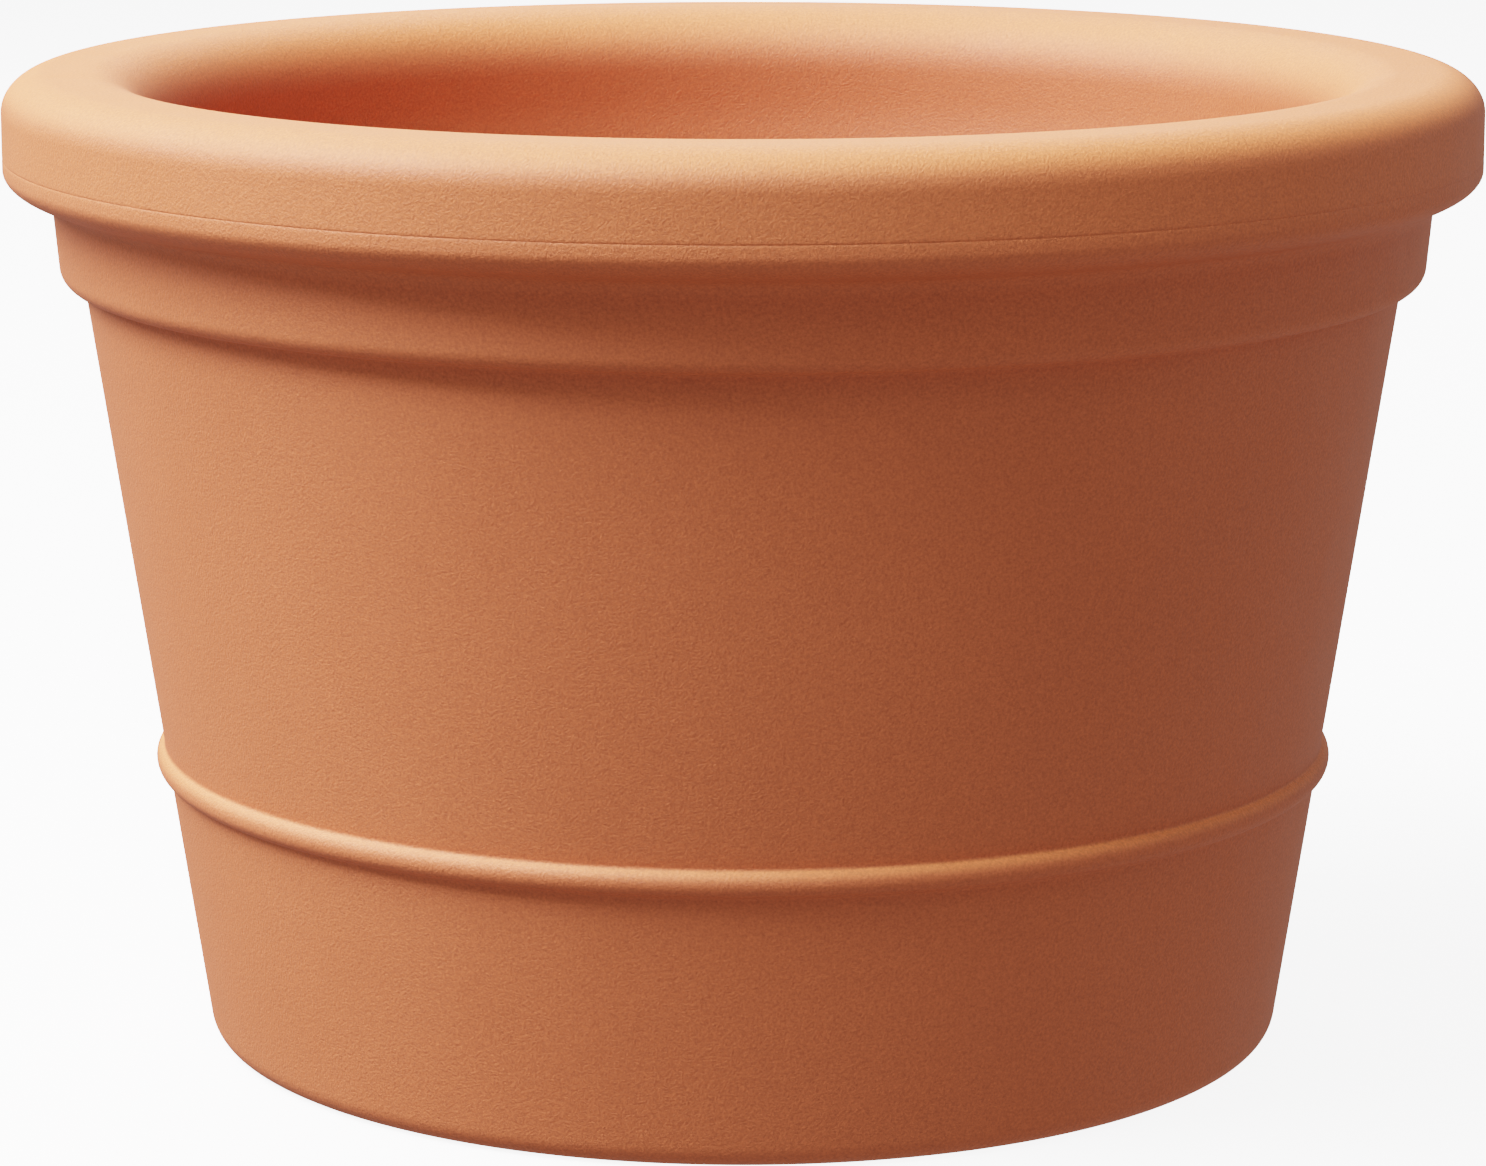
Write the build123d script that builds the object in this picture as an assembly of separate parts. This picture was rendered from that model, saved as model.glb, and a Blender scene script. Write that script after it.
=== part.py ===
from build123d import *
import math
import os

os.makedirs("parts", exist_ok=True)

# Round double-walled planter, rotationally moulded.
# Millimetres, +Z up. Origin: centre of the foot ring, on the ground.

# ---------------------------------------------------------------- driving dimensions
RIM_R = 254.0            # widest radius, at the vertical face of the rolled rim
HEIGHT = 338.0           # ground to the crest of the rim
WALL = 4.0               # skin thickness of the hollow moulding

CONE_R0 = 187.6          # outer cone carried down to the ground
CONE_K = 0.1488          # outer cone, radius gained per mm of height (8.5 degrees)
FOOT_IN = 6.4            # foot rounding, measured in along the ground
FOOT_UP = 7.4            # foot rounding, measured up the wall

BEAD_Z = 99.0            # height of the half-round bead's centre
BEAD_R = 4.8             # bead radius
BEAD_SINK = 1.12         # bead centre lies this far inside the cone
BEAD_BLEND = 1.5         # fillet between bead and cone

COLLAR_Z = 266.4         # underside of the collar
COLLAR_R = 235.0         # collar line at that height
COLLAR_K = 0.0916        # collar, radius gained per mm of height
COLLAR_IN = 5.1          # lower edge rounding, in
COLLAR_UP = 5.7          # lower edge rounding, up

RIM_Z = 296.4            # underside of the rolled rim
RIM_IN = 18.1            # lower rounding of the rim, in
RIM_UP = 9.5             # lower rounding of the rim, up
PART_Z = 309.6           # mould parting line round the rim
PART_D = 0.35            # depth of the parting groove
PART_H = 0.45            # half height of the parting groove
CROWN_OUT = 16.1         # crown rounding outside, in
CROWN_DN = 13.1          # crown rounding outside, down
CREST_R = 224.5          # inner end of the flat crest
LIP_R = 202.1            # inner wall radius where the lip rounding ends
LIP_DN = 22.9            # depth of that rounding
LAND = 10.0              # short cylindrical land below it, where an insert is guided
LAND_BLEND = 6.0         # land to tapered inner wall

INNER_K = 0.1488         # inner wall, radius gained per mm of height
FLOOR_Z = 34.0           # inner floor
FLOOR_FILLET = 26.0      # inner wall to floor

RECESS_Z = 7.0           # underside panel, raised inside the foot ring
FOOT_RING_R = 151.0      # inner edge of the foot ring
RECESS_R = 147.5         # where the raised panel starts

HOLE_R = 11.0            # drain holes
HOLE_CIRCLE = 100.0      # outer drain holes, distance from the axis
DISH_R = 22.0            # shallow dish round each drain hole
DISH_D = 2.0             # its depth
DISH_FLARE = 2.5         # its sloping edge
HOLE_ANGLES = {
    "front_left": 225.0,
    "front_right": 315.0,
    "back_right": 45.0,
    "back_left": 135.0,
}

VENT_R = 4.75            # vent hole in the underside
VENT_X = 52.0            # its place, between the drain holes
VENT_Y = 0.0

RIB_R = HOLE_R - 0.05    # sealing ribs of the plugs, a running fit in the hole
STEM_R = 10.0            # plug stem between the ribs
HEAD_R = 16.0            # plug flange
HEAD_T = 3.2             # flange thickness
PLUG_BOTTOM = 9.5        # lower end of the plug, above the ground
TAB_W = 17.0             # pull tab
TAB_T = 3.6
TAB_H = 14.0


# ---------------------------------------------------------------- section helpers
def kappa(turn):
    """Handle length, as a share of the setback, that makes a Bezier corner circular."""
    return 4.0 / 3.0 * math.tan(turn / 4.0) / math.tan(turn / 2.0)


def corner(before, at, after, a, b, ka=None, kb=None):
    """Bezier control points that round the corner `at`, set back a and b along its sides."""
    p, q, s = Vector(*before), Vector(*at), Vector(*after)
    u = (p - q).normalized()
    v = (s - q).normalized()
    turn = math.pi - math.radians(u.get_angle(v))
    k = kappa(turn)
    ka = k if ka is None else ka
    kb = k if kb is None else kb
    return [q + u * a, q + u * (a * (1 - ka)), q + v * (b * (1 - kb)), q + v * b]


class Section:
    """A closed chain of lines and Bezier arcs in the r, z plane."""

    def __init__(self, start):
        self.start = Vector(*start)
        self.at = self.start
        self.edges = []

    def line(self, p):
        p = Vector(*p) if isinstance(p, tuple) else p
        if (p - self.at).length > 1e-6:
            self.edges.append(Edge.make_line(self.at, p))
        self.at = p

    def arc(self, mid, end):
        self.edges.append(Edge.make_three_point_arc(self.at, mid, end))
        self.at = end

    def bezier(self, pts):
        self.line(pts[0])
        self.edges.append(Edge.make_bezier(*pts))
        self.at = pts[3]

    def solid(self):
        self.line(self.start)
        flat = Face(Wire(self.edges))
        upright = Plane.XZ * flat
        return revolve(upright, Axis.Z, 360)


def cone_r(z):
    return CONE_R0 + CONE_K * z


def collar_r(z):
    return COLLAR_R + COLLAR_K * (z - COLLAR_Z)


TAPER_TOP = HEIGHT - LIP_DN - LAND - LAND_BLEND


def inner_r(z):
    return LIP_R - INNER_K * (TAPER_TOP - z)


# ---------------------------------------------------------------- outer skin of the shell
def skin_section():
    s = Section((HOLE_R, RECESS_Z))
    # underside: raised panel, then down to the foot ring
    s.bezier(corner((HOLE_R, RECESS_Z), (RECESS_R, RECESS_Z), (FOOT_RING_R, 0), 3.6, 3.6))
    s.bezier(corner((RECESS_R, RECESS_Z), (FOOT_RING_R, 0), (CONE_R0, 0), 3.6, 3.6))
    # foot rounding
    s.bezier(corner((FOOT_RING_R, 0), (CONE_R0, 0), (cone_r(100), 100), FOOT_IN, FOOT_UP, 0.60, 0.60))
    # bead
    tilt = math.atan(CONE_K)
    along = Vector(math.sin(tilt), math.cos(tilt))
    out = Vector(math.cos(tilt), -math.sin(tilt))
    sink = BEAD_SINK * math.cos(tilt)
    foot = Vector(cone_r(BEAD_Z), BEAD_Z) + along * (BEAD_SINK * math.sin(tilt) * -1)
    centre = foot - out * sink
    reach = math.sqrt((BEAD_R + BEAD_BLEND) ** 2 - (BEAD_BLEND + sink) ** 2)
    for side in (-1, 1):
        blend_c = foot + along * (side * reach) + out * BEAD_BLEND
        on_cone = foot + along * (side * reach)
        on_bead = centre + (blend_c - centre).normalized() * BEAD_R
        mid_dir = ((on_cone - blend_c).normalized() + (on_bead - blend_c).normalized()).normalized()
        blend_mid = blend_c + mid_dir * BEAD_BLEND
        if side < 0:
            s.line(on_cone)
            s.arc(blend_mid, on_bead)
        else:
            s.arc(centre + out * BEAD_R, on_bead)
            s.arc(blend_mid, on_cone)
    # cone up to the underside of the collar, and the collar's rounded lower edge
    step = (cone_r(COLLAR_Z), COLLAR_Z)
    edge = (COLLAR_R, COLLAR_Z)
    top = (collar_r(RIM_Z), RIM_Z)
    s.bezier(corner((cone_r(200), 200), step, edge, 1.4, 1.4))
    s.bezier(corner(step, edge, top, COLLAR_IN, COLLAR_UP))
    # underside of the rim: the last part of an ellipse, with a small fillet from the collar
    e0 = Vector(RIM_R - RIM_IN, RIM_Z)
    e3 = Vector(RIM_R, RIM_Z + RIM_UP)
    e1 = e0 + Vector(0.5523 * RIM_IN, 0)
    e2 = e3 - Vector(0, 0.5523 * RIM_UP)
    t = 0.24
    a1, b1, c1 = e0 * (1 - t) + e1 * t, e1 * (1 - t) + e2 * t, e2 * (1 - t) + e3 * t
    a2, b2 = a1 * (1 - t) + b1 * t, b1 * (1 - t) + c1 * t
    cut = a2 * (1 - t) + b2 * t
    slope = (b2 - cut).normalized()
    # where the tangent at the cut meets the collar line
    z_hit = cut.Y
    for _ in range(20):
        z_hit = cut.Y + (collar_r(z_hit) - cut.X) * slope.Y / slope.X
    hit = Vector(collar_r(z_hit), z_hit)
    gap = (cut - hit).length
    s.bezier(corner((collar_r(COLLAR_Z), COLLAR_Z), (hit.X, hit.Y), (cut.X, cut.Y), gap, gap))
    s.bezier([cut, b2, c1, e3])
    # vertical face of the rim with the parting groove
    s.line((RIM_R, PART_Z - PART_H))
    s.line((RIM_R - PART_D, PART_Z))
    s.line((RIM_R, PART_Z + PART_H))
    # crown
    s.bezier(corner((RIM_R, PART_Z), (RIM_R, HEIGHT), (CREST_R, HEIGHT), CROWN_DN, CROWN_OUT))
    # flat crest, over the lip, and down the cylindrical land
    s.bezier(corner((RIM_R, HEIGHT), (LIP_R, HEIGHT), (LIP_R, 100), CREST_R - LIP_R, LIP_DN))
    s.bezier(corner((LIP_R, HEIGHT), (LIP_R, TAPER_TOP), (inner_r(100), 100), LAND_BLEND, LAND_BLEND))
    # inner wall down to the floor
    s.bezier(corner((inner_r(200), 200), (inner_r(FLOOR_Z), FLOOR_Z), (0, FLOOR_Z), FLOOR_FILLET, FLOOR_FILLET))
    # dish round the middle drain hole
    s.line((DISH_R + DISH_FLARE, FLOOR_Z))
    s.line((DISH_R, FLOOR_Z - DISH_D))
    s.line((HOLE_R, FLOOR_Z - DISH_D))
    return s.solid()


# ---------------------------------------------------------------- cavity between the two walls
def cavity_section():
    w = WALL
    tube = HOLE_R + w
    slant = w * math.hypot(1, CONE_K)
    slant_in = w * math.hypot(1, INNER_K)
    base = RECESS_Z + w
    under = FLOOR_Z - w
    s = Section((tube, base))

    def c(before, at, after, a):
        s.bezier(corner(before, at, after, a, a))

    p = [
        (tube, base),
        (RECESS_R - 2.0, base),
        (FOOT_RING_R + 2.6, w),
        (cone_r(w) - slant, w),
        (cone_r(COLLAR_Z - 1.0) - slant, COLLAR_Z - 1.0),
        (collar_r(COLLAR_Z + w + 5.0) - slant, COLLAR_Z + w + 5.0),
        (collar_r(RIM_Z) - w, RIM_Z + w),
        (RIM_R - w, RIM_Z + w + 5.0),
        (RIM_R - w, HEIGHT - w),
        (LIP_R + w, HEIGHT - w),
        (LIP_R + w, TAPER_TOP),
        (inner_r(under) + slant_in, under),
        (DISH_R + DISH_FLARE + w, under),
        (DISH_R + 3.0, under - DISH_D),
        (tube, under - DISH_D),
    ]
    round_off = [0, 2.5, 2.5, 5.0, 3.0, 3.0, 2.5, 4.0, 10.0, 17.0, 6.0, 24.0, 1.5, 1.0, 0]
    for i in range(1, len(p) - 1):
        c(p[i - 1], p[i], p[i + 1], round_off[i])
    s.line(p[-1])
    return s.solid()


def hole_places():
    return {
        name: (HOLE_CIRCLE * math.cos(math.radians(a)), HOLE_CIRCLE * math.sin(math.radians(a)))
        for name, a in HOLE_ANGLES.items()
    }


def lathe(points):
    """Solid of revolution about Z from a closed r, z outline."""
    pts = [Vector(*q) for q in points]
    wire = Wire([Edge.make_line(pts[i], pts[(i + 1) % len(pts)]) for i in range(len(pts))])
    return revolve(Plane.XZ * Face(wire), Axis.Z, 360)


skin = skin_section()
cavity = cavity_section()

# Outer drain holes: a tube of the moulding round each ties floor and underside together.
tube_r = HOLE_R + WALL
keep = lathe([
    (0, 0), (tube_r, 0), (tube_r, FLOOR_Z - WALL - DISH_D), (DISH_R + 3.0, FLOOR_Z - WALL - DISH_D),
    (DISH_R + DISH_FLARE + WALL, FLOOR_Z - WALL), (DISH_R + DISH_FLARE + WALL, FLOOR_Z), (0, FLOOR_Z),
])
drill = lathe([
    (0, -1), (HOLE_R, -1), (HOLE_R, FLOOR_Z - DISH_D), (DISH_R, FLOOR_Z - DISH_D),
    (DISH_R + DISH_FLARE, FLOOR_Z), (DISH_R + DISH_FLARE, FLOOR_Z + 1), (0, FLOOR_Z + 1),
])
for x, y in hole_places().values():
    cavity = cavity - Pos(x, y, 0) * keep
    skin = skin - Pos(x, y, 0) * drill

vent_hole = Pos(VENT_X, VENT_Y, RECESS_Z) * Cylinder(VENT_R, WALL * 2, align=(Align.CENTER, Align.CENTER, Align.CENTER))
planter_shell = skin - cavity - vent_hole


# ---------------------------------------------------------------- drain plugs
def drain_plug():
    z0 = PLUG_BOTTOM
    zf = FLOOR_Z - DISH_D            # the flange rests here
    out = [(0, z0 + 9.0), (6.2, z0 + 9.0), (7.0, z0), (9.0, z0), (STEM_R, z0 + 1.6)]
    # three sealing ribs, each a low ridge with sloping flanks
    for zr in (z0 + 3.6, z0 + 9.6, z0 + 15.6):
        out += [(STEM_R, zr), (RIB_R, zr + 1.4), (RIB_R, zr + 2.4), (STEM_R, zr + 3.2)]
    out += [(STEM_R, zf), (HEAD_R - 0.6, zf), (HEAD_R, zf + 0.6), (HEAD_R, zf + HEAD_T - 1.2)]
    # rounded upper edge of the flange and a shallow hollow in its top
    out += [(HEAD_R - 0.35, zf + HEAD_T - 0.5), (HEAD_R - 1.2, zf + HEAD_T), (HEAD_R - 3.0, zf + HEAD_T)]
    out += [(HEAD_R - 3.8, zf + HEAD_T - 0.7), (0, zf + HEAD_T - 0.7)]
    body = lathe(out)
    zt = zf + HEAD_T - 0.7
    # pull tab: an upright plate with a round top and a finger hole
    plate = Pos(0, 0, zt - 0.2) * Box(TAB_W, TAB_T, TAB_H - TAB_W / 2 + 0.2, align=(Align.CENTER, Align.CENTER, Align.MIN))
    cap = Pos(0, 0, zt + TAB_H - TAB_W / 2) * Rot(90, 0, 0) * Cylinder(TAB_W / 2, TAB_T)
    tab = plate + cap
    eye = Pos(0, 0, zt + TAB_H - TAB_W / 2) * Rot(90, 0, 0) * Cylinder(4.2, TAB_T * 3)
    tab = tab - eye
    rim = tab.edges().filter_by(GeomType.CIRCLE)
    tab = fillet(rim, 0.8)
    return body + tab


plug = drain_plug()
plugs = {"drain_plug_centre": Pos(0, 0, 0) * plug}
for name, (x, y) in hole_places().items():
    plugs["drain_plug_" + name] = Pos(x, y, 0) * plug

# ---------------------------------------------------------------- vent plug
# Button head under the raised panel, stem through it, barb above it in the cavity.
zb = RECESS_Z
vent_plug = Pos(VENT_X, VENT_Y, 0) * lathe([
    (0, zb - 2.4), (5.5, zb - 2.4), (7.6, zb - 1.7), (8.6, zb - 0.6), (8.6, zb), (VENT_R, zb),
    (VENT_R, zb + WALL), (VENT_R + 0.8, zb + WALL + 0.6), (VENT_R + 0.8, zb + WALL + 1.2),
    (VENT_R - 1.6, zb + WALL + 4.0), (2.0, zb + WALL + 4.0), (2.0, zb + 0.5), (0, zb + 0.5),
])

# ---------------------------------------------------------------- write the pieces
nodes = {"planter_shell": planter_shell, **plugs, "vent_plug": vent_plug}
for name, shape in nodes.items():
    solids = shape.solids()
    print(name, "solids", len(solids), "valid", shape.is_valid, "volume cm3", round(shape.volume / 1000, 2))
    export_step(shape if len(solids) != 1 else solids[0], f"parts/{name}.step")
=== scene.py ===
import math

import bmesh
import bpy
from mathutils import Matrix, Vector, geometry


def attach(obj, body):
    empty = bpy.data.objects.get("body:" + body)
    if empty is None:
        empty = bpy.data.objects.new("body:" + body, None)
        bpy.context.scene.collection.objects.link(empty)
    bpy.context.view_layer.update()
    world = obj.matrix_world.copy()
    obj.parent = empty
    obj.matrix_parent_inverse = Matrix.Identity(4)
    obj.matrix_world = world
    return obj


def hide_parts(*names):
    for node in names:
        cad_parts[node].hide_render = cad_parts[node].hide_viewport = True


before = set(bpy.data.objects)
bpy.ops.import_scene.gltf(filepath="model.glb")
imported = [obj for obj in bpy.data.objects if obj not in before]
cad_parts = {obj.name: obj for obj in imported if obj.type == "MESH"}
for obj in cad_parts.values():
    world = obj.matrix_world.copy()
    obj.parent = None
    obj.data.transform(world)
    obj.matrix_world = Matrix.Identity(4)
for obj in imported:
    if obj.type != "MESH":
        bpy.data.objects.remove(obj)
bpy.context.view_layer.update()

MM = 0.001

# ---------------------------------------------------------------- section of the moulding, in mm
RIM_R = 254.0
HEIGHT = 338.0
CONE_R0 = 187.6
CONE_K = 0.1488
FOOT_IN = 6.4
FOOT_UP = 7.4
BEAD_Z = 99.0
BEAD_R = 4.8
BEAD_SINK = 1.12
BEAD_BLEND = 1.5
COLLAR_Z = 266.4
COLLAR_R = 235.0
COLLAR_K = 0.0916
COLLAR_IN = 5.1
COLLAR_UP = 5.7
RIM_Z = 296.4
RIM_IN = 18.1
RIM_UP = 9.5
PART_Z = 309.6
PART_D = 0.20
CROWN_OUT = 16.1
CROWN_DN = 13.1
CREST_R = 224.5
LIP_R = 202.1
LIP_DN = 22.9
LAND = 10.0
LAND_BLEND = 6.0
INNER_K = 0.1488
FLOOR_Z = 34.0
FLOOR_FILLET = 26.0
RECESS_Z = 7.0
FOOT_RING_R = 151.0
RECESS_R = 147.5
HOLE_R = 11.0
HOLE_CIRCLE = 100.0
DISH_R = 22.0
DISH_D = 2.0
DISH_FLARE = 2.5
HOLES = {
    "centre": (0.0, 0.0),
    "front_left": (HOLE_CIRCLE * math.cos(math.radians(225)), HOLE_CIRCLE * math.sin(math.radians(225))),
    "front_right": (HOLE_CIRCLE * math.cos(math.radians(315)), HOLE_CIRCLE * math.sin(math.radians(315))),
    "back_right": (HOLE_CIRCLE * math.cos(math.radians(45)), HOLE_CIRCLE * math.sin(math.radians(45))),
    "back_left": (HOLE_CIRCLE * math.cos(math.radians(135)), HOLE_CIRCLE * math.sin(math.radians(135))),
}
VENT_R = 4.75
VENT = (52.0, 0.0)
TAPER_TOP = HEIGHT - LIP_DN - LAND - LAND_BLEND
TURN = 240          # segments round the shell
TURN_HOLE = 96      # segments round a hole or a plug


def cone_r(z):
    return CONE_R0 + CONE_K * z


def collar_r(z):
    return COLLAR_R + COLLAR_K * (z - COLLAR_Z)


def inner_r(z):
    return LIP_R - INNER_K * (TAPER_TOP - z)


# ---------------------------------------------------------------- outline helpers
def bezier(p0, p1, p2, p3, n):
    pts = []
    for i in range(n + 1):
        t = i / n
        s = 1 - t
        pts.append(p0 * s ** 3 + p1 * 3 * s * s * t + p2 * 3 * s * t * t + p3 * t ** 3)
    return pts


def rounded(before, at, after, a, b=None, n=10, k=None):
    """Points that round the corner `at`, set back a and b along its sides."""
    b = a if b is None else b
    p, q, s = Vector(before), Vector(at), Vector(after)
    u, v = (p - q).normalized(), (s - q).normalized()
    turn = math.pi - u.angle(v)
    if k is None:
        k = 4.0 / 3.0 * math.tan(turn / 4.0) / math.tan(turn / 2.0)
    return bezier(q + u * a, q + u * (a * (1 - k)), q + v * (b * (1 - k)), q + v * b, n)


def arc(centre, radius, start, mid, end, n):
    """Points on a circle from start to end by way of mid."""
    a0 = math.atan2(start.y - centre.y, start.x - centre.x)
    am = math.atan2(mid.y - centre.y, mid.x - centre.x)
    a1 = math.atan2(end.y - centre.y, end.x - centre.x)

    def unwrap(a, near):
        while a - near > math.pi:
            a -= 2 * math.pi
        while a - near < -math.pi:
            a += 2 * math.pi
        return a

    am = unwrap(am, a0)
    a1 = unwrap(a1, am)
    return [centre + Vector((math.cos(a0 + (a1 - a0) * i / n), math.sin(a0 + (a1 - a0) * i / n))) * radius for i in range(n + 1)]


def graded(points, step):
    """Straight runs between the points get rings close to their ends, so that the smooth shading stays true."""
    out = [points[0]]
    for p, q in zip(points, points[1:]):
        length = (q - p).length
        if length > 4.5:
            marks = [0.5, 1.6]
            inner = length - 2 * 3.6
            marks += [3.6 + inner * i / max(1, round(inner / step)) for i in range(max(1, round(inner / step)) + 1)] if inner > 0 else []
            marks += [length - 1.6, length - 0.5]
            for m in marks:
                if 0 < m < length:
                    out.append(p + (q - p) * (m / length))
        out.append(q)
    clean = [out[0]]
    for p in out[1:]:
        if (p - clean[-1]).length > 1e-4:
            clean.append(p)
    return clean


def shell_outline():
    """From the edge of the flat floor, up the inside, over the rim, down the outside and in under the foot."""
    o = []
    o += [Vector((inner_r(FLOOR_Z) - FLOOR_FILLET - 2.0, FLOOR_Z))]
    o += rounded((0, FLOOR_Z), (inner_r(FLOOR_Z), FLOOR_Z), (inner_r(200), 200), FLOOR_FILLET, n=26)
    o += rounded((inner_r(100), 100), (LIP_R, TAPER_TOP), (LIP_R, HEIGHT), LAND_BLEND, n=6)
    o += rounded((LIP_R, 100), (LIP_R, HEIGHT), (CREST_R, HEIGHT), LIP_DN, CREST_R - LIP_R, n=30)
    o += rounded((CREST_R, HEIGHT), (RIM_R, HEIGHT), (RIM_R, 100), CROWN_OUT, CROWN_DN, n=24)
    # mould parting line: a fine groove with softened lips
    o += [Vector((RIM_R, PART_Z + 1.1)), Vector((RIM_R - 0.012, PART_Z + 0.5)), Vector((RIM_R - 0.05, PART_Z + 0.28)),
          Vector((RIM_R - PART_D * 0.95, PART_Z + 0.05)), Vector((RIM_R - PART_D, PART_Z)),
          Vector((RIM_R - PART_D * 0.9, PART_Z - 0.06)), Vector((RIM_R - 0.05, PART_Z - 0.45)),
          Vector((RIM_R - 0.012, PART_Z - 0.75)), Vector((RIM_R, PART_Z - 1.3))]
    # underside of the rim
    e0, e3 = Vector((RIM_R - RIM_IN, RIM_Z)), Vector((RIM_R, RIM_Z + RIM_UP))
    e1, e2 = e0 + Vector((0.5523 * RIM_IN, 0)), e3 - Vector((0, 0.5523 * RIM_UP))
    t = 0.24
    a1, b1, c1 = e0.lerp(e1, t), e1.lerp(e2, t), e2.lerp(e3, t)
    a2, b2 = a1.lerp(b1, t), b1.lerp(c1, t)
    cut = a2.lerp(b2, t)
    slope = (b2 - cut).normalized()
    z_hit = cut.y
    for _ in range(20):
        z_hit = cut.y + (collar_r(z_hit) - cut.x) * slope.y / slope.x
    hit = Vector((collar_r(z_hit), z_hit))
    gap = (cut - hit).length
    o += bezier(e3, c1, b2, cut, 20)
    o += rounded(cut, hit, (collar_r(COLLAR_Z), COLLAR_Z), gap, n=8)[1:]
    # collar
    o += rounded((collar_r(RIM_Z), RIM_Z), (COLLAR_R, COLLAR_Z), (cone_r(COLLAR_Z), COLLAR_Z), COLLAR_UP, COLLAR_IN, n=14)
    o += rounded((COLLAR_R, COLLAR_Z), (cone_r(COLLAR_Z), COLLAR_Z), (cone_r(200), 200), 1.4, n=6)
    # bead
    tilt = math.atan(CONE_K)
    along = Vector((math.sin(tilt), math.cos(tilt)))
    out = Vector((math.cos(tilt), -math.sin(tilt)))
    sink = BEAD_SINK * math.cos(tilt)
    foot = Vector((cone_r(BEAD_Z), BEAD_Z)) - along * (BEAD_SINK * math.sin(tilt))
    centre = foot - out * sink
    reach = math.sqrt((BEAD_R + BEAD_BLEND) ** 2 - (BEAD_BLEND + sink) ** 2)
    ends = {}
    for side in (1, -1):
        on_cone = foot + along * (side * reach)
        blend_c = on_cone + out * BEAD_BLEND
        on_bead = centre + (blend_c - centre).normalized() * BEAD_R
        mid = blend_c + ((on_cone - blend_c).normalized() + (on_bead - blend_c).normalized()).normalized() * BEAD_BLEND
        ends[side] = (on_cone, blend_c, on_bead, mid)
    c, b, d, m = ends[1]
    o += arc(b, BEAD_BLEND, c, m, d, 6)
    o += arc(centre, BEAD_R, d, centre + out * BEAD_R, ends[-1][2], 22)[1:]
    c, b, d, m = ends[-1]
    o += arc(b, BEAD_BLEND, d, m, c, 6)[1:]
    # foot, foot ring and the raised panel inside it
    o += rounded((cone_r(100), 100), (CONE_R0, 0), (FOOT_RING_R, 0), FOOT_UP, FOOT_IN, n=14, k=0.60)
    o += rounded((CONE_R0, 0), (FOOT_RING_R, 0), (RECESS_R, RECESS_Z), 3.6, n=8)
    o += rounded((FOOT_RING_R, 0), (RECESS_R, RECESS_Z), (HOLE_R, RECESS_Z), 3.6, n=8)
    o += [Vector((RECESS_R - 3.6 - 2.0, RECESS_Z))]
    return graded(o, 8.0)


def hole_outline():
    """From the flat floor down a drain hole to the flat underside."""
    zd = FLOOR_Z - DISH_D
    o = [Vector((DISH_R + DISH_FLARE + 2.8, FLOOR_Z)), Vector((DISH_R + DISH_FLARE + 1.4, FLOOR_Z))]
    o += rounded((60, FLOOR_Z), (DISH_R + DISH_FLARE, FLOOR_Z), (DISH_R, zd), 1.1, n=5)
    o += rounded((DISH_R + DISH_FLARE, FLOOR_Z), (DISH_R, zd), (HOLE_R, zd), 1.1, n=5)
    o += rounded((DISH_R, zd), (HOLE_R, zd), (HOLE_R, 10), 0.9, n=5)
    o += rounded((HOLE_R, 20), (HOLE_R, RECESS_Z), (40, RECESS_Z), 0.9, n=5)
    o += [Vector((HOLE_R + 2.2, RECESS_Z)), Vector((HOLE_R + 3.6, RECESS_Z))]
    return graded(o, 4.0)


# ---------------------------------------------------------------- mesh helpers
def ring(bm, r, z, n, centre=(0.0, 0.0)):
    return [
        bm.verts.new(((centre[0] + r * math.cos(2 * math.pi * i / n)) * MM, (centre[1] + r * math.sin(2 * math.pi * i / n)) * MM, z * MM))
        for i in range(n)
    ]


def bridge(bm, a, b):
    n = len(a)
    return [bm.faces.new((a[i], a[(i + 1) % n], b[(i + 1) % n], b[i])) for i in range(n)]


def lathe(bm, outline, n, centre=(0.0, 0.0)):
    """Rings along the outline. Returns the first and the last ring."""
    rings = [ring(bm, p[0], p[1], n, centre) for p in outline]
    for a, b in zip(rings, rings[1:]):
        bridge(bm, a, b)
    return rings[0], rings[-1]


def cap(bm, loop, z, centre=(0.0, 0.0)):
    mid = bm.verts.new((centre[0] * MM, centre[1] * MM, z * MM))
    n = len(loop)
    for i in range(n):
        bm.faces.new((loop[i], loop[(i + 1) % n], mid))


def plate(bm, outer, inners, z, spacing=9.0):
    """Fills the flat space between an outer loop and round inner loops with even triangles."""
    loops = [outer] + [loop for loop, _, _ in inners]
    verts = [v for loop in loops for v in loop]
    flat = [Vector((v.co.x / MM, v.co.y / MM)) for v in verts]
    edges, at = [], 0
    for loop in loops:
        n = len(loop)
        edges += [(at + i, at + (i + 1) % n) for i in range(n)]
        at += n
    r_out = max(p.length for p in flat[: len(outer)])
    rows = int(2 * r_out / (spacing * 0.866)) + 2
    for j in range(rows):
        y = -r_out + j * spacing * 0.866
        for i in range(int(2 * r_out / spacing) + 2):
            x = -r_out + (i + 0.5 * (j % 2)) * spacing + 0.37
            p = Vector((x, y))
            if p.length > r_out - spacing * 0.62:
                continue
            if any((p - Vector(c)).length < r + spacing * 0.62 for _, c, r in inners):
                continue
            flat.append(p)
            verts.append(bm.verts.new((x * MM, y * MM, z * MM)))
    got, _, faces, origin, _, _ = geometry.delaunay_2d_cdt(flat, edges, [], 0, 1e-5)
    for f in faces:
        pts = [got[i] for i in f]
        c = sum(pts, Vector((0, 0))) / len(pts)
        if c.length > r_out * math.cos(math.pi / len(outer)) or any((c - Vector(q)).length < r * math.cos(math.pi / len(loop)) for loop, q, r in inners):
            continue
        bm.faces.new([verts[origin[i][0]] for i in f])


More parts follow.
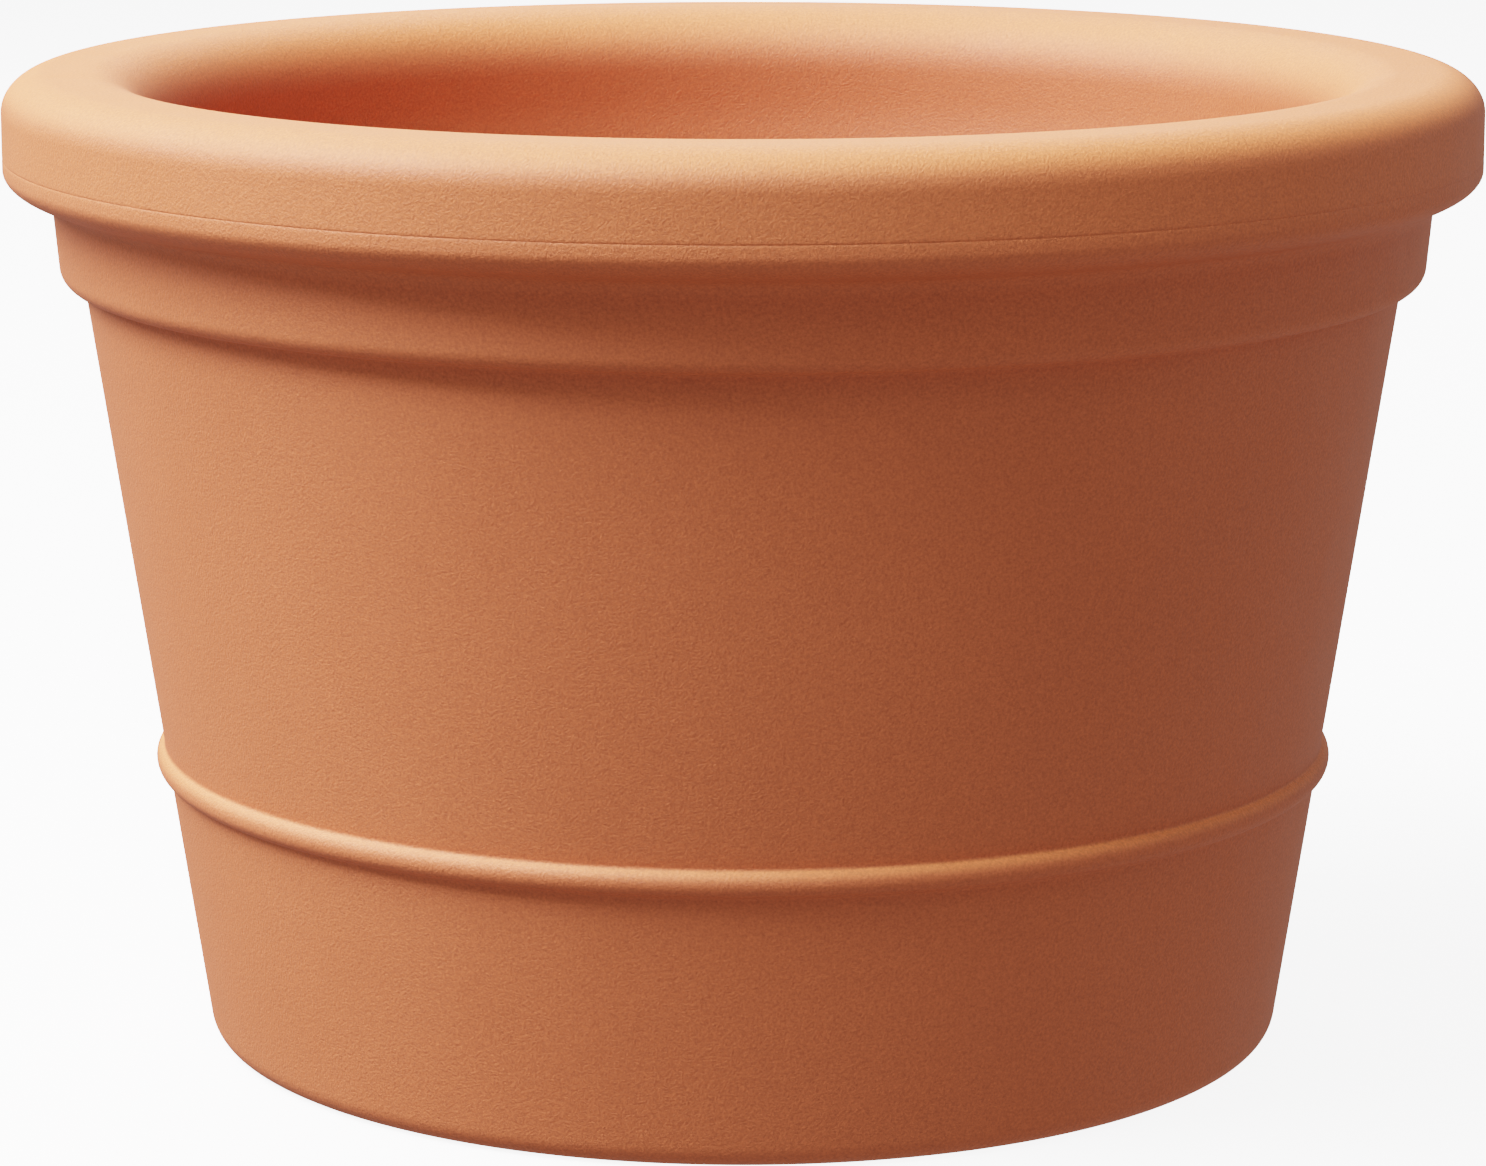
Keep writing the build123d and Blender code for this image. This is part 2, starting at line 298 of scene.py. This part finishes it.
def finish_mesh(bm, name):
    bmesh.ops.recalc_face_normals(bm, faces=bm.faces)
    if bm.calc_volume(signed=True) < 0:
        bmesh.ops.reverse_faces(bm, faces=bm.faces)
    for f in bm.faces:
        f.smooth = True
    mesh = bpy.data.meshes.new(name)
    bm.to_mesh(mesh)
    bm.free()
    obj = bpy.data.objects.new(name, mesh)
    bpy.context.scene.collection.objects.link(obj)
    return obj


# ---------------------------------------------------------------- the moulded shell
def make_shell():
    bm = bmesh.new()
    outline = shell_outline()
    top, under = lathe(bm, outline, TURN)
    hole = hole_outline()
    floor_loops, under_loops = [], []
    for c in HOLES.values():
        a, b = lathe(bm, hole, TURN_HOLE, c)
        floor_loops.append((a, c, hole[0].x))
        under_loops.append((b, c, hole[-1].x))
    # vent hole, open to a small pocket above it
    vent = [Vector((VENT_R + 2.4, RECESS_Z)), Vector((VENT_R + 1.2, RECESS_Z))]
    vent += rounded((30, RECESS_Z), (VENT_R, RECESS_Z), (VENT_R, 30), 0.4, n=3)
    vent += [Vector((VENT_R, RECESS_Z + 4.0)), Vector((VENT_R + 3.0, RECESS_Z + 4.4)), Vector((VENT_R + 3.0, RECESS_Z + 12.0)), Vector((VENT_R, RECESS_Z + 12.5))]
    a, b = lathe(bm, vent, 64, VENT)
    cap(bm, b, RECESS_Z + 12.5, VENT)
    under_loops.append((a, VENT, vent[0].x))
    plate(bm, top, floor_loops, FLOOR_Z)
    plate(bm, under, under_loops, RECESS_Z)
    return finish_mesh(bm, "planter_shell_moulding")


# ---------------------------------------------------------------- drain plugs
PLUG_BOTTOM = 9.5
HEAD_R = 16.0
HEAD_T = 3.2
RIB_R = HOLE_R - 0.05
STEM_R = 10.0


def plug_outline():
    z0, zf = PLUG_BOTTOM, FLOOR_Z - DISH_D
    zt = zf + HEAD_T
    o = [Vector((2.2, z0 + 9.0)), Vector((5.0, z0 + 9.0))]
    o += rounded((0, z0 + 9.0), (6.2, z0 + 9.0), (7.0, z0), 0.8, n=4)
    o += rounded((6.2, z0 + 9.0), (7.0, z0), (9.0, z0), 0.5, n=3)
    o += rounded((7.0, z0), (8.6, z0), (STEM_R, z0 + 2.0), 0.6, n=4)
    o += rounded((8.6, z0), (STEM_R, z0 + 2.0), (STEM_R, z0 + 6.0), 0.5, n=3)
    for zr in (z0 + 3.6, z0 + 9.6, z0 + 15.6):
        o += rounded((STEM_R, zr - 1), (STEM_R, zr), (RIB_R, zr + 1.4), 0.35, n=3)
        o += rounded((STEM_R, zr), (RIB_R, zr + 1.4), (RIB_R, zr + 2.4), 0.4, n=3)
        o += rounded((RIB_R, zr + 1.4), (RIB_R, zr + 2.4), (STEM_R, zr + 3.2), 0.4, n=3)
        o += rounded((RIB_R, zr + 2.4), (STEM_R, zr + 3.2), (STEM_R, zr + 5), 0.35, n=3)
    o += rounded((STEM_R, zf - 1), (STEM_R, zf), (HEAD_R, zf), 0.3, n=3)
    o += rounded((STEM_R, zf), (HEAD_R, zf), (HEAD_R, zt), 0.9, n=5)
    o += rounded((HEAD_R, zf), (HEAD_R, zt), (0, zt), 1.2, n=7)
    # raised bead near the edge of the flange, then a shallow hollow
    o += rounded((HEAD_R, zt), (HEAD_R - 3.0, zt), (HEAD_R - 3.9, zt - 0.8), 0.5, n=4)
    o += rounded((HEAD_R - 3.0, zt), (HEAD_R - 3.9, zt - 0.7), (0, zt - 0.7), 0.5, n=4)
    o += [Vector((4.0, zt - 0.7)), Vector((1.5, zt - 0.7))]
    return graded(o, 3.0)


def make_tab():
    """Pull tab: an upright plate with an eye, a thickened edge and a flared base, as one closed ring of sections."""
    zt = FLOOR_Z - DISH_D + HEAD_T - 0.7
    half, eye = 8.5, 4.2
    zc = zt + 14.0 - half
    base = zc - (zt - 0.7)
    bm = bmesh.new()
    rings = []
    steps = 96
    for i in range(steps):
        a = 2 * math.pi * i / steps
        dx, dz = math.cos(a), math.sin(a)
        reach = half
        if dz < 0:
            # below the eye the plate has straight sides and a flat base; the corner is held to the base line
            side = half / abs(dx) if abs(dx) > 1e-6 else 1e9
            down = base / -dz
            reach = min(side, down)
        n_face = 7
        sect = []
        # half section in front, from the eye outwards, then behind, back to the eye
        for face in (-1, 1):
            row = []
            for k in range(n_face + 1):
                s = k / n_face
                rho = eye + 0.75 + (reach - eye - 1.5) * s
                edge = min(s, 1 - s) * (reach - eye - 1.5)
                thick = 1.25 + 0.5 * math.exp(-((edge / 0.9) ** 2))
                row.append((rho, face * thick))
            t_in = row[0][1]
            t_out = row[-1][1]
            inner_edge = [(eye + 0.75 - 0.75 * math.sin(q), t_in - face * 0.75 * (1 - math.cos(q))) for q in (math.pi / 6, math.pi / 3, math.pi / 2)]
            outer_edge = [(reach - 0.75 + 0.75 * math.sin(q), t_out - face * 0.75 * (1 - math.cos(q))) for q in (math.pi / 6, math.pi / 3, math.pi / 2)]
            line = inner_edge[::-1] + row + outer_edge
            sect += line if face < 0 else line[::-1]
        verts = []
        for rho, y in sect:
            x, z = rho * dx, zc + rho * dz
            lift = z - zt
            if lift < 3.0:
                g = (1 - max(lift, 0.0) / 3.0) ** 2.2
                y *= 1 + 1.1 * g
                x *= 1 + 0.10 * g
            verts.append(bm.verts.new((x * MM, y * MM, z * MM)))
        rings.append(verts)
    for i in range(steps):
        bridge(bm, rings[i], rings[(i + 1) % steps])
    return finish_mesh(bm, "tab_work")


def joined(a, b, name):
    """Boolean union of two closed meshes, baked into one."""
    m = a.modifiers.new("join", "BOOLEAN")
    m.operation, m.solver, m.object = "UNION", "EXACT", b
    dg = bpy.context.evaluated_depsgraph_get()
    mesh = bpy.data.meshes.new_from_object(a.evaluated_get(dg))
    mesh.name = name
    for f in mesh.polygons:
        f.use_smooth = True
    for o in (a, b):
        bpy.data.objects.remove(o)
    return mesh


def make_plugs():
    bm = bmesh.new()
    o = plug_outline()
    first, last = lathe(bm, o, TURN_HOLE)
    cap(bm, first, o[0].y)
    cap(bm, last, o[-1].y)
    body = finish_mesh(bm, "plug_work")
    mesh = joined(body, make_tab(), "drain_plug_mesh")
    mesh.set_sharp_from_angle(angle=math.radians(50))
    made = {}
    for key, (x, y) in HOLES.items():
        m = mesh.copy()
        m.name = "drain_plug_" + key + "_rubber"
        m.transform(Matrix.Translation((x * MM, y * MM, 0)))
        obj = bpy.data.objects.new("drain_plug_" + key + "_rubber", m)
        bpy.context.scene.collection.objects.link(obj)
        made[key] = obj
    bpy.data.meshes.remove(mesh)
    return made


def make_vent_plug():
    """Button with a domed head, a pry groove round it, a stem and a barb."""
    z = RECESS_Z
    o = [Vector((1.2, z - 2.0)), Vector((2.6, z - 1.95))]
    o += rounded((2.6, z - 1.95), (3.6, z - 1.9), (4.2, z - 2.4), 0.3, n=3)
    o += rounded((3.6, z - 1.9), (4.2, z - 2.4), (6.0, z - 2.4), 0.3, n=3)
    o += rounded((4.2, z - 2.4), (6.6, z - 2.3), (8.3, z - 1.2), 0.9, n=5)
    o += rounded((6.6, z - 2.3), (8.6, z - 1.0), (8.6, z), 0.5, n=4)
    o += [Vector((8.6, z - 0.05)), Vector((8.4, z)), Vector((VENT_R + 0.2, z)), Vector((VENT_R, z + 0.2)), Vector((VENT_R, z + 3.9))]
    o += rounded((VENT_R, z + 4.0), (VENT_R + 0.8, z + 4.7), (VENT_R - 1.6, z + 8.0), 0.4, n=4)
    o += rounded((VENT_R + 0.8, z + 4.7), (VENT_R - 1.6, z + 8.0), (2.0, z + 8.0), 0.4, n=4)
    o += [Vector((2.0, z + 8.0)), Vector((2.0, z + 0.6)), Vector((1.0, z + 0.5))]
    bm = bmesh.new()
    first, last = lathe(bm, o, 64, VENT)
    cap(bm, first, o[0].y, VENT)
    cap(bm, last, o[-1].y, VENT)
    obj = finish_mesh(bm, "vent_plug_button")
    obj.data.set_sharp_from_angle(angle=math.radians(45))
    return obj


# ---------------------------------------------------------------- materials
class Nodes:
    """Small helper that adds nodes and links."""

    def __init__(self, mat):
        self.tree = mat.node_tree
        self.tree.nodes.clear()

    def add(self, kind, **values):
        n = self.tree.nodes.new(kind)
        for k, v in values.items():
            if k in n.inputs:
                n.inputs[k].default_value = v
            else:
                setattr(n, k, v)
        return n

    def link(self, a, out, b, into):
        self.tree.links.new(a.outputs[out], b.inputs[into])


def terracotta_plastic():
    mat = bpy.data.materials.new("terracotta_plastic")
    mat.use_nodes = True
    k = Nodes(mat)
    out = k.add("ShaderNodeOutputMaterial")
    bsdf = k.add("ShaderNodeBsdfPrincipled")
    bsdf.inputs["IOR"].default_value = 1.45
    bsdf.inputs["Specular IOR Level"].default_value = 0.4
    k.link(bsdf, "BSDF", out, "Surface")
    where = k.add("ShaderNodeTexCoord")

    def noise(scale, detail, rough, distortion=0.0):
        n = k.add("ShaderNodeTexNoise", Scale=scale, Detail=detail, Roughness=rough, Distortion=distortion)
        k.link(where, "Object", n, "Vector")
        return n

    grain = noise(1250.0, 2.0, 0.6)
    pits = noise(640.0, 2.0, 0.6)
    cloud = noise(9.0, 3.0, 0.5)
    flow = noise(38.0, 4.0, 0.55)
    speck = noise(1050.0, 3.0, 0.65)

    # colour: the base tone drifts a little over the moulding, with a fine speckle of pigment
    drift = k.add("ShaderNodeMapRange")
    drift.inputs["From Min"].default_value, drift.inputs["From Max"].default_value = 0.3, 0.7
    drift.inputs["To Min"].default_value, drift.inputs["To Max"].default_value = 0.0, 1.0
    k.link(cloud, "Fac", drift, "Value")
    tone = k.add("ShaderNodeMix", data_type="RGBA")
    tone.inputs["A"].default_value = TERRA_A
    tone.inputs["B"].default_value = TERRA_B
    k.link(drift, "Result", tone, "Factor")
    fleck = k.add("ShaderNodeMapRange")
    fleck.inputs["From Min"].default_value, fleck.inputs["From Max"].default_value = 0.25, 0.75
    fleck.inputs["To Min"].default_value, fleck.inputs["To Max"].default_value = 0.70, 1.30
    k.link(speck, "Fac", fleck, "Value")
    streak = k.add("ShaderNodeMapRange")
    streak.inputs["From Min"].default_value, streak.inputs["From Max"].default_value = 0.3, 0.7
    streak.inputs["To Min"].default_value, streak.inputs["To Max"].default_value = 0.99, 1.01
    k.link(flow, "Fac", streak, "Value")
    both = k.add("ShaderNodeMath", operation="MULTIPLY")
    k.link(fleck, "Result", both, 0)
    k.link(streak, "Result", both, 1)
    # convex edges are made a touch paler, by pointiness
    geo = k.add("ShaderNodeNewGeometry")
    edge_pale = k.add("ShaderNodeMapRange")
    edge_pale.inputs["From Min"].default_value, edge_pale.inputs["From Max"].default_value = 0.52, 0.62
    edge_pale.inputs["To Min"].default_value, edge_pale.inputs["To Max"].default_value = 1.0, 1.03
    k.link(geo, "Pointiness", edge_pale, "Value")
    shade = k.add("ShaderNodeMath", operation="MULTIPLY")
    k.link(both, "Value", shade, 0)
    k.link(edge_pale, "Result", shade, 1)
    # painted highlight: the upward faces of the rim and the bead are made paler, where light from above falls on them
    facing = k.add("ShaderNodeSeparateXYZ")
    k.link(geo, "Normal", facing, "Vector")
    up = k.add("ShaderNodeMapRange", interpolation_type="SMOOTHSTEP")
    up.inputs["From Min"].default_value, up.inputs["From Max"].default_value = 0.10, 0.85
    k.link(facing, "Z", up, "Value")
    place = k.add("ShaderNodeSeparateXYZ")
    k.link(where, "Object", place, "Vector")
    above = k.add("ShaderNodeMapRange", interpolation_type="SMOOTHSTEP")
    above.inputs["From Min"].default_value, above.inputs["From Max"].default_value = 0.060, 0.090
    k.link(place, "Z", above, "Value")
    lit_from_above = k.add("ShaderNodeMath", operation="MULTIPLY")
    k.link(up, "Result", lit_from_above, 0)
    k.link(above, "Result", lit_from_above, 1)
    # painted highlight on the rim's outer face: a band of it, outside the lip, is made paler too
    band = k.add("ShaderNodeMapRange", interpolation_type="SMOOTHSTEP")
    band.inputs["From Min"].default_value, band.inputs["From Max"].default_value = 0.299, 0.314
    band.inputs["To Min"].default_value, band.inputs["To Max"].default_value = 0.0, 0.24
    k.link(place, "Z", band, "Value")
    flat = k.add("ShaderNodeCombineXYZ")
    k.link(place, "X", flat, "X")
    k.link(place, "Y", flat, "Y")
    reach = k.add("ShaderNodeVectorMath", operation="LENGTH")
    k.link(flat, "Vector", reach, 0)
    outside = k.add("ShaderNodeMapRange", interpolation_type="SMOOTHSTEP")
    outside.inputs["From Min"].default_value, outside.inputs["From Max"].default_value = 0.212, 0.224
    k.link(reach, "Value", outside, "Value")
    face = k.add("ShaderNodeMath", operation="MULTIPLY")
    k.link(band, "Result", face, 0)
    k.link(outside, "Result", face, 1)
    painted_highlight = k.add("ShaderNodeMath", operation="MAXIMUM")
    k.link(lit_from_above, "Value", painted_highlight, 0)
    k.link(face, "Value", painted_highlight, 1)
    # painted shade: the inside wall and the floor are given a darker, deeper red, where less light reaches
    inside = k.add("ShaderNodeMapRange", interpolation_type="SMOOTHSTEP")
    inside.inputs["From Min"].default_value, inside.inputs["From Max"].default_value = 0.2065, 0.2020
    k.link(reach, "Value", inside, "Value")
    within = k.add("ShaderNodeMapRange", interpolation_type="SMOOTHSTEP")
    within.inputs["From Min"].default_value, within.inputs["From Max"].default_value = 0.028, 0.033
    k.link(place, "Z", within, "Value")
    wall = k.add("ShaderNodeMapRange", interpolation_type="SMOOTHSTEP")
    wall.inputs["From Min"].default_value, wall.inputs["From Max"].default_value = 0.0, 0.012
    gap = k.add("ShaderNodeMath", operation="MULTIPLY_ADD")
    gap.inputs[1].default_value, gap.inputs[2].default_value = 0.1488, 0.1676
    k.link(place, "Z", gap, 0)
    clear = k.add("ShaderNodeMath", operation="SUBTRACT")
    k.link(gap, "Value", clear, 0)
    k.link(reach, "Value", clear, 1)
    k.link(clear, "Value", wall, "Value")
    deep = k.add("ShaderNodeMath", operation="MULTIPLY")
    k.link(inside, "Result", deep, 0)
    k.link(wall, "Result", deep, 1)
    inside_shade = k.add("ShaderNodeMath", operation="MULTIPLY")
    k.link(deep, "Value", inside_shade, 0)
    k.link(within, "Result", inside_shade, 1)
    # mix in the painted shade inside, then the painted highlight on top
    shaded = k.add("ShaderNodeMix", data_type="RGBA")
    shaded.inputs["B"].default_value = TERRA_SHADE
    k.tree.links.new(tone.outputs["Result"], shaded.inputs["A"])
    k.link(inside_shade, "Value", shaded, "Factor")
    highlighted = k.add("ShaderNodeMix", data_type="RGBA")
    highlighted.inputs["B"].default_value = TERRA_HIGHLIGHT
    k.tree.links.new(shaded.outputs["Result"], highlighted.inputs["A"])
    k.link(painted_highlight, "Value", highlighted, "Factor")
    colour = k.add("ShaderNodeVectorMath", operation="SCALE")
    k.tree.links.new(highlighted.outputs["Result"], colour.inputs[0])
    k.link(shade, "Value", colour, "Scale")
    k.link(colour, "Vector", bsdf, "Base Color")

    # roughness: sand-blasted mould finish, slightly uneven
    rough = k.add("ShaderNodeMapRange")
    rough.inputs["From Min"].default_value, rough.inputs["From Max"].default_value = 0.3, 0.7
    rough.inputs["To Min"].default_value, rough.inputs["To Max"].default_value = ROUGH - 0.03, ROUGH + 0.03
    k.link(flow, "Fac", rough, "Value")
    k.link(rough, "Result", bsdf, "Roughness")

    # relief: fine grain over slightly larger pits
    mix = k.add("ShaderNodeMath", operation="MULTIPLY_ADD")
    mix.inputs[1].default_value = 0.55
    k.link(pits, "Fac", mix, 0)
    k.link(grain, "Fac", mix, 2)
    bump = k.add("ShaderNodeBump", Strength=1.0, Distance=GRAIN)
    k.link(mix, "Value", bump, "Height")
    k.link(bump, "Normal", bsdf, "Normal")
    return mat


def plug_rubber():
    mat = bpy.data.materials.new("plug_rubber")
    mat.use_nodes = True
    k = Nodes(mat)
    out = k.add("ShaderNodeOutputMaterial")
    bsdf = k.add("ShaderNodeBsdfPrincipled")
    bsdf.inputs["Specular IOR Level"].default_value = 0.3
    k.link(bsdf, "BSDF", out, "Surface")
    where = k.add("ShaderNodeTexCoord")
    soft = k.add("ShaderNodeTexNoise", Scale=90.0, Detail=4.0, Roughness=0.6)
    fine = k.add("ShaderNodeTexNoise", Scale=1400.0, Detail=2.0, Roughness=0.5)
    for n in (soft, fine):
        k.link(where, "Object", n, "Vector")
    ramp = k.add("ShaderNodeValToRGB")
    ramp.color_ramp.elements[0].position, ramp.color_ramp.elements[0].color = 0.3, (0.021, 0.0135, 0.0105, 1)
    ramp.color_ramp.elements[1].position, ramp.color_ramp.elements[1].color = 0.72, (0.040, 0.0265, 0.0205, 1)
    k.link(soft, "Fac", ramp, "Fac")
    # scuffed lighter on the raised edges
    geo = k.add("ShaderNodeNewGeometry")
    edge_pale = k.add("ShaderNodeMapRange")
    edge_pale.inputs["From Min"].default_value, edge_pale.inputs["From Max"].default_value = 0.53, 0.66
    edge_pale.inputs["To Min"].default_value, edge_pale.inputs["To Max"].default_value = 0.0, 0.5
    k.link(geo, "Pointiness", edge_pale, "Value")
    tone = k.add("ShaderNodeMix", data_type="RGBA")
    tone.inputs["B"].default_value = (0.085, 0.060, 0.048, 1)
    k.tree.links.new(ramp.outputs["Color"], tone.inputs["A"])
    k.link(edge_pale, "Result", tone, "Factor")
    k.tree.links.new(tone.outputs["Result"], bsdf.inputs["Base Color"])
    rough = k.add("ShaderNodeMapRange")
    rough.inputs["From Min"].default_value, rough.inputs["From Max"].default_value = 0.3, 0.7
    rough.inputs["To Min"].default_value, rough.inputs["To Max"].default_value = 0.52, 0.7
    k.link(soft, "Fac", rough, "Value")
    k.link(rough, "Result", bsdf, "Roughness")
    bump = k.add("ShaderNodeBump", Strength=0.6, Distance=0.00008)
    k.link(fine, "Fac", bump, "Height")
    k.link(bump, "Normal", bsdf, "Normal")
    return mat


def vent_plastic():
    mat = bpy.data.materials.new("vent_plastic")
    mat.use_nodes = True
    k = Nodes(mat)
    out = k.add("ShaderNodeOutputMaterial")
    bsdf = k.add("ShaderNodeBsdfPrincipled")
    k.link(bsdf, "BSDF", out, "Surface")
    where = k.add("ShaderNodeTexCoord")
    soft = k.add("ShaderNodeTexNoise", Scale=140.0, Detail=3.0, Roughness=0.55)
    k.link(where, "Object", soft, "Vector")
    ramp = k.add("ShaderNodeValToRGB")
    ramp.color_ramp.elements[0].position, ramp.color_ramp.elements[0].color = 0.3, (0.42, 0.135, 0.052, 1)
    ramp.color_ramp.elements[1].position, ramp.color_ramp.elements[1].color = 0.7, (0.47, 0.16, 0.064, 1)
    k.link(soft, "Fac", ramp, "Fac")
    k.tree.links.new(ramp.outputs["Color"], bsdf.inputs["Base Color"])
    rough = k.add("ShaderNodeMapRange")
    rough.inputs["To Min"].default_value, rough.inputs["To Max"].default_value = 0.34, 0.5
    k.link(soft, "Fac", rough, "Value")
    k.link(rough, "Result", bsdf, "Roughness")
    bump = k.add("ShaderNodeBump", Strength=0.4, Distance=0.00006)
    k.link(soft, "Fac", bump, "Height")
    k.link(bump, "Normal", bsdf, "Normal")
    return mat


TERRA_A = (0.440, 0.0925, 0.0315, 1.0)
TERRA_B = (0.466, 0.0995, 0.0350, 1.0)
# paler tone: painted highlight on the upward faces and on the rim's outer face
TERRA_HIGHLIGHT = (0.700, 0.168, 0.050, 1.0)
# deeper tone: painted shade inside the pot
TERRA_SHADE = (0.438, 0.0870, 0.0285, 1.0)
ROUGH = 0.62
GRAIN = 0.00027

shell_mat = terracotta_plastic()
plug_mat = plug_rubber()
vent_mat = vent_plastic()

shell = make_shell()
shell.data.materials.append(shell_mat)
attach(shell, "planter")
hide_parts("planter_shell")

for key, obj in make_plugs().items():
    obj.data.materials.append(plug_mat)
    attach(obj, "plug_" + key + "_body")
    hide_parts("drain_plug_" + key)

vent = make_vent_plug()
vent.data.materials.append(vent_mat)
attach(vent, "planter")
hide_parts("vent_plug")


# ---------------------------------------------------------------- floor, light and camera
def plain_white(name, glow):
    mat = bpy.data.materials.new(name)
    mat.use_nodes = True
    b = mat.node_tree.nodes["Principled BSDF"]
    b.inputs["Base Color"].default_value = (0.90, 0.90, 0.90, 1)
    b.inputs["Roughness"].default_value = 0.9
    b.inputs["Specular IOR Level"].default_value = 0.1
    b.inputs["Emission Color"].default_value = (1, 1, 1, 1)
    b.inputs["Emission Strength"].default_value = glow
    return mat


def set_piece(name, outline, material):
    """A round piece of the set, seen by the camera but throwing no light back on the planter."""
    bm = bmesh.new()
    rings = [[bm.verts.new((r * math.cos(2 * math.pi * i / 96), r * math.sin(2 * math.pi * i / 96), z)) for i in range(96)] for r, z in outline]
    for p, q in zip(rings, rings[1:]):
        for i in range(96):
            bm.faces.new((p[i], p[(i + 1) % 96], q[(i + 1) % 96], q[i]))
    bm.faces.new(rings[0])
    bmesh.ops.recalc_face_normals(bm, faces=bm.faces)
    if sum(f.normal.z * f.calc_area() for f in bm.faces) * (1 if name == "floor" else -1) < 0:
        bmesh.ops.reverse_faces(bm, faces=bm.faces)
    mesh = bpy.data.meshes.new(name)
    bm.to_mesh(mesh)
    bm.free()
    obj = bpy.data.objects.new(name, mesh)
    bpy.context.scene.collection.objects.link(obj)
    mesh.materials.append(material)
    obj.visible_diffuse = obj.visible_glossy = obj.visible_shadow = False
    return obj


floor = set_piece("floor", [(0.6, 0.0), (3.0, 0.0), (14.0, 0.0)], plain_white("floor_white", 4.4))
backdrop = set_piece("backdrop", [(0.5, 9.0), (9.0, 8.0), (13.0, 3.0), (13.4, -0.05)], plain_white("backdrop_white", 4.8))


def softbox(name, azimuth, elevation, size, power, colour=(1.0, 1.0, 1.0), distance=3.2):
    """Round soft light; azimuth 0 is in front of the planter, 90 to its right."""
    a, b = math.radians(azimuth), math.radians(elevation)
    target = Vector((0, 0, 0.2))
    data = bpy.data.lights.new(name, "AREA")
    data.shape, data.size, data.energy, data.color = "DISK", size, power, colour
    obj = bpy.data.objects.new(name, data)
    obj.location = target + distance * Vector((math.sin(a) * math.cos(b), -math.cos(a) * math.cos(b), math.sin(b)))
    obj.rotation_euler = (target - obj.location).to_track_quat("-Z", "Y").to_euler()
    bpy.context.scene.collection.objects.link(obj)
    return obj


softbox("key_left", -90, 40, 1.7, 215)
softbox("key_high", -60, 54, 1.7, 212)
softbox("key_back", -115, 54, 1.7, 85)
softbox("high_front", -25, 54, 1.7, 38)
softbox("back", 180, 40, 1.7, 44)
softbox("edge_right", 110, 15, 1.6, 5)

# even glow of a white studio, a little stronger from below, where it stands for the floor's bounce
world = bpy.data.worlds.new("studio")
bpy.context.scene.world = world
world.use_nodes = True
w = world.node_tree
sky = w.nodes.new("ShaderNodeTexCoord")
split = w.nodes.new("ShaderNodeSeparateXYZ")
below = w.nodes.new("ShaderNodeMapRange")
below.inputs["From Min"].default_value, below.inputs["From Max"].default_value = -0.1, 0.1
below.inputs["To Min"].default_value, below.inputs["To Max"].default_value = 1.0, 0.0
tint = w.nodes.new("ShaderNodeMix")
tint.data_type = "RGBA"
tint.inputs["A"].default_value = (0.35, 0.35, 0.35, 1)
tint.inputs["B"].default_value = (0.57, 0.49, 0.44, 1)
w.links.new(sky.outputs["Generated"], split.inputs["Vector"])
w.links.new(split.outputs["Z"], below.inputs["Value"])
w.links.new(below.outputs["Result"], tint.inputs["Factor"])
w.links.new(tint.outputs["Result"], w.nodes["Background"].inputs["Color"])

cam_data = bpy.data.cameras.new("camera")
cam_data.sensor_width = 36.0
cam_data.lens = 5342.07 / 1486 * 36.0
cam_data.clip_start, cam_data.clip_end = 0.05, 60.0
cam = bpy.data.objects.new("camera", cam_data)
cam.location = (0.0, -1.84074, 0.52565)
cam.rotation_euler = (math.pi / 2 - 0.19839, 0.0, 0.0)
bpy.context.scene.collection.objects.link(cam)
bpy.context.scene.camera = cam

scene = bpy.context.scene
scene.view_settings.view_transform = "Filmic"
scene.view_settings.look = "None"
